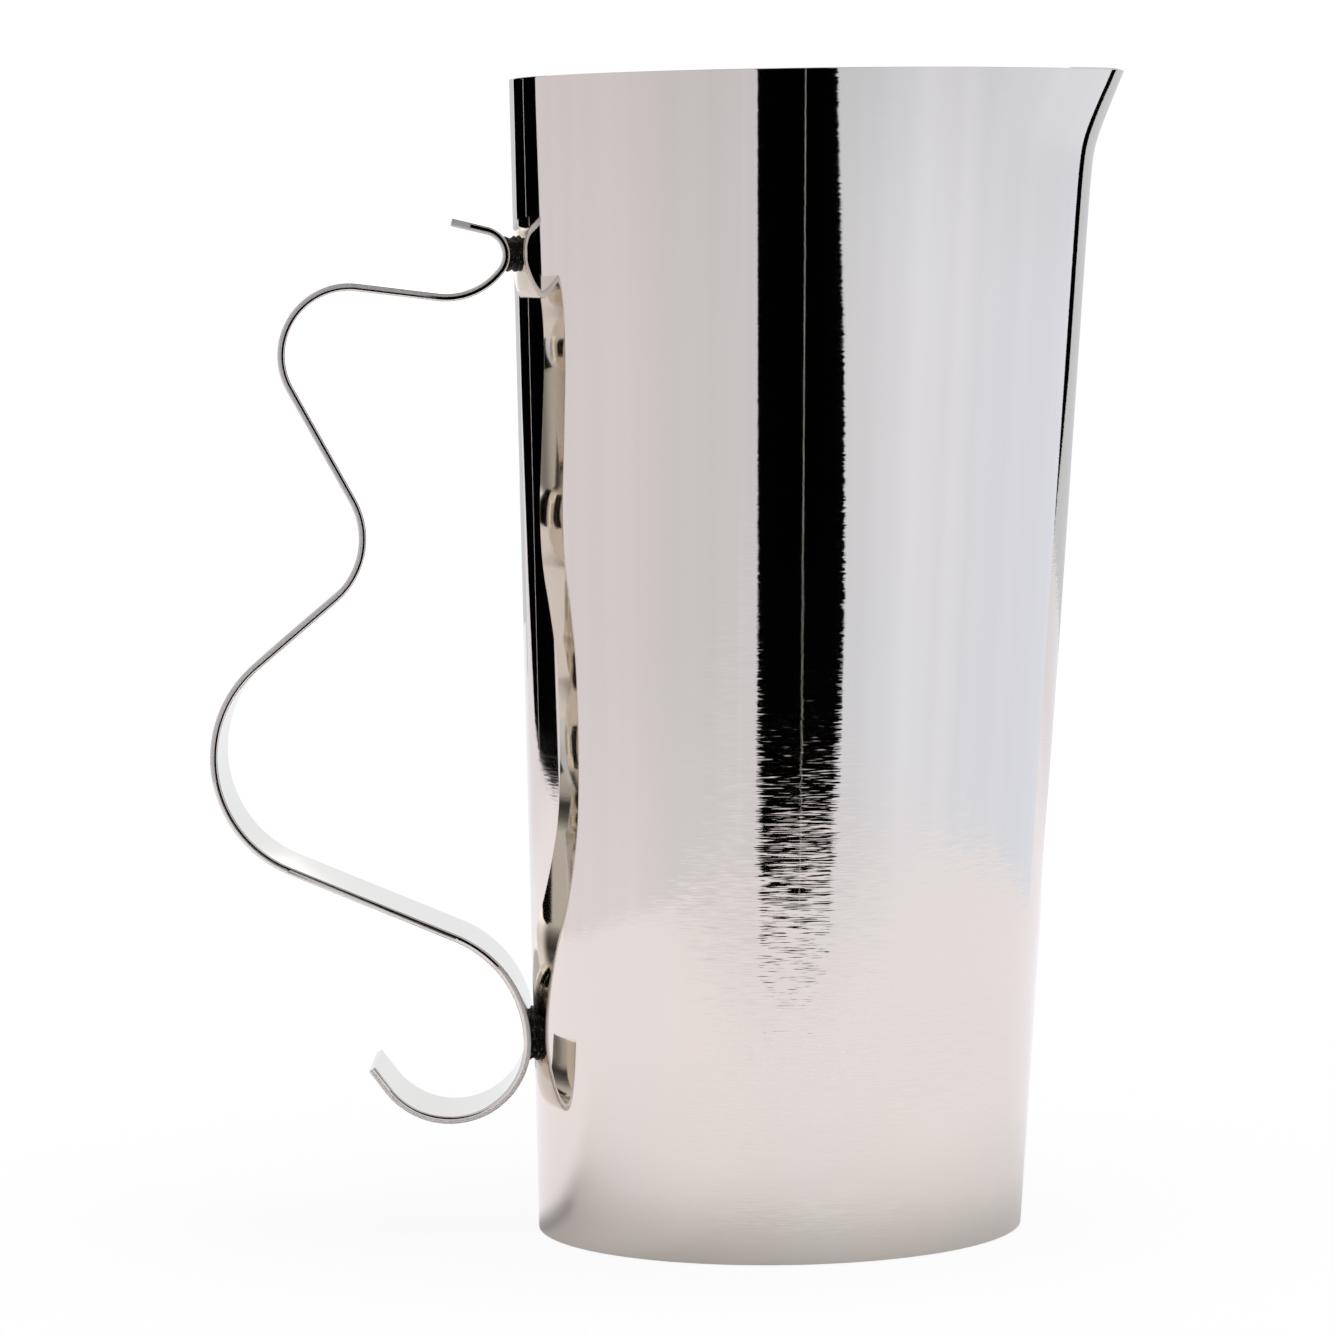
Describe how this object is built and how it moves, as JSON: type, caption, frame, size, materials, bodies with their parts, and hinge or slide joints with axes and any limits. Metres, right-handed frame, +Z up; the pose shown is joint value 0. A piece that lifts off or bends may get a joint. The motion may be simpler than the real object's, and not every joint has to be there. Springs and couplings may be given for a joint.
{
  "type": "cocktail pitcher",
  "caption": "Tall leaning steel pitcher for stirring and pouring drinks, with a broad flared lip and a wavy flat-strip handle curled at both ends.",
  "frame": {"origin": "centre of the base's underside, on the table", "axes": "+Z up, +X from the handle to the pouring lip, +Y away from the picture's camera"},
  "size_m": [0.1591, 0.1014, 0.2],
  "materials": {
    "body_steel": "polished, with fine lines round the wall",
    "strip_steel": "polished faces, dressed edges",
    "braze_silver": "dull, flowed filler"
  },
  "bodies": {
    "root": {"body_wall": "body_steel", "base_disc": "body_steel", "base_seam": "braze_silver", "handle_strip": "strip_steel", "upper_braze": "braze_silver", "lower_braze": "braze_silver"}
  },
  "joints": []
}
